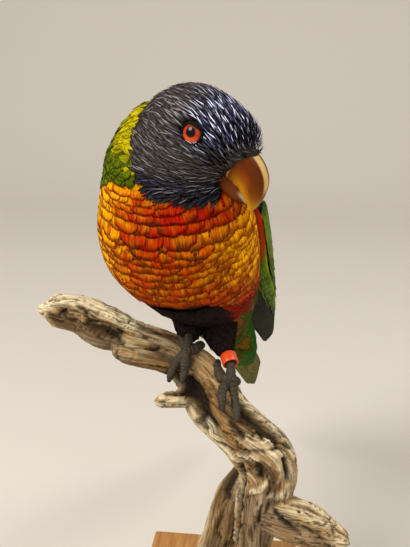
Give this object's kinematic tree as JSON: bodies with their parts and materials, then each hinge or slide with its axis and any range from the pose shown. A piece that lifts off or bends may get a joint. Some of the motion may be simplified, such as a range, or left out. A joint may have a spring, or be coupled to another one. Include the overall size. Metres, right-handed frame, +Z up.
{
  "type": "mounted rainbow lorikeet specimen",
  "caption": "Life-size parrot standing alert on a twisted driftwood branch, head turned to its left, long pointed tail, on a rectangular wooden block.",
  "frame": {"origin": "centre of the wooden block's underside", "axes": "+Z up; the bird's breast faces -Y and its tail points to +Y; +X is the bird's left side"},
  "size_m": [0.1278, 0.1958, 0.2407],
  "materials": {
    "hood_feathers": "feathered, blackish with violet-blue streaks",
    "collar_feathers": "feathered, yellow-green",
    "breast_feathers": "feathered, orange-red with yellow and dark scallops",
    "belly_feathers": "feathered, blackish blue",
    "wing_feathers": "feathered, green with a soft sheen",
    "tail_feathers": "feathered, olive green and yellow",
    "eye": "wet gloss",
    "bill": "semi-gloss horn",
    "foot": "dry scaly skin",
    "leg_ring": "semi-gloss",
    "driftwood": "weathered, matte",
    "block": "satin oiled"
  },
  "bodies": {
    "root": {"head": "hood_feathers", "neck": "collar_feathers", "torso": "breast_feathers", "thigh_left": "belly_feathers", "thigh_right": "belly_feathers", "wing_left": "wing_feathers", "wing_right": "wing_feathers", "tail": "tail_feathers", "eye_left": "eye", "eye_right": "eye", "bill_upper": "bill", "bill_lower": "bill", "foot_left": "foot", "foot_right": "foot", "leg_ring": "leg_ring", "driftwood": "driftwood", "base": "block"}
  },
  "joints": []
}
